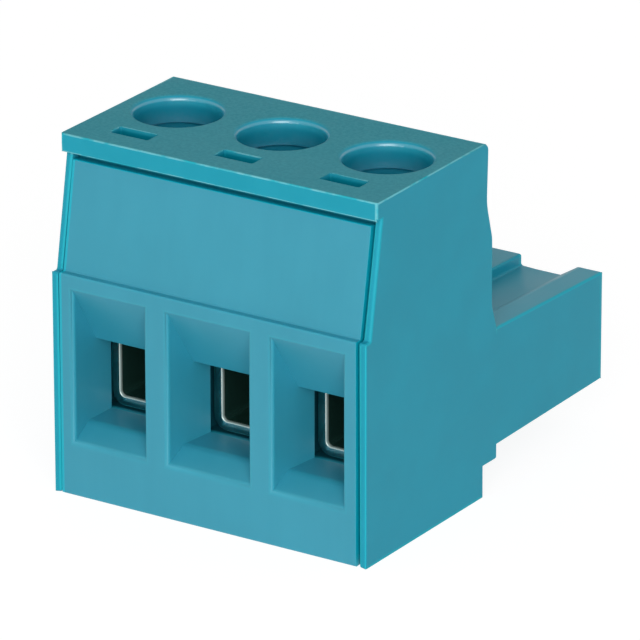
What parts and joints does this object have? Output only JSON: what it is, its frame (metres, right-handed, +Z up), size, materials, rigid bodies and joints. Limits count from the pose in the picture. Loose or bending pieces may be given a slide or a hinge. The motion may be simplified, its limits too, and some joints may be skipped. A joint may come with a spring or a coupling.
{
  "type": "pluggable terminal block plug",
  "caption": "Moulded cable plug for a pin header, with a leaning front panel, wire funnels, driver wells and rising cage clamps worked by captive slotted screws.",
  "frame": {"origin": "on the bottom face, under the middle of the plug's box", "axes": "+Z up along the screws, +Y from the wire side to the header side, +X along the row of poles"},
  "size_m": [0.0152, 0.0184, 0.0155],
  "materials": {
    "housing_plastic": "teal polyamide, satin, finely textured on top",
    "cover_plastic": "teal polyamide, satin",
    "contact_metal": "tin-plated copper alloy, satin",
    "cage_metal": "nickel-plated brass, bright",
    "screw_metal": "zinc-plated steel"
  },
  "bodies": {
    "plug": {"housing": "housing_plastic", "front_cover": "cover_plastic", "contact_1": "contact_metal", "contact_2": "contact_metal", "contact_3": "contact_metal"},
    "cage_1": {"cage_1": "cage_metal"},
    "cage_2": {"cage_2": "cage_metal"},
    "cage_3": {"cage_3": "cage_metal"},
    "screw_1": {"screw_1": "screw_metal"},
    "screw_2": {"screw_2": "screw_metal"},
    "screw_3": {"screw_3": "screw_metal"}
  },
  "joints": [
    {"name": "screw_1_turn", "type": "hinge", "parent": "plug", "child": "screw_1", "pos_m": [-0.00508, -0.00364, 0.012], "axis": [0, 0, -1], "range_deg": [0, 2200]},
    {"name": "cage_1_rise", "type": "slide", "parent": "plug", "child": "cage_1", "axis": [0, 0, 1], "range_m": [0, 0.00275]},
    {"name": "screw_2_turn", "type": "hinge", "parent": "plug", "child": "screw_2", "pos_m": [0, -0.00364, 0.012], "axis": [0, 0, -1], "range_deg": [0, 2200]},
    {"name": "cage_2_rise", "type": "slide", "parent": "plug", "child": "cage_2", "axis": [0, 0, 1], "range_m": [0, 0.00275]},
    {"name": "screw_3_turn", "type": "hinge", "parent": "plug", "child": "screw_3", "pos_m": [0.00508, -0.00364, 0.012], "axis": [0, 0, -1], "range_deg": [0, 2200]},
    {"name": "cage_3_rise", "type": "slide", "parent": "plug", "child": "cage_3", "axis": [0, 0, 1], "range_m": [0, 0.00275]}
  ],
  "couplings": [
    {"joint": "screw_1_turn", "follows": "cage_1_rise", "rad_per_m": 13963},
    {"joint": "screw_2_turn", "follows": "cage_2_rise", "rad_per_m": 13963},
    {"joint": "screw_3_turn", "follows": "cage_3_rise", "rad_per_m": 13963}
  ]
}
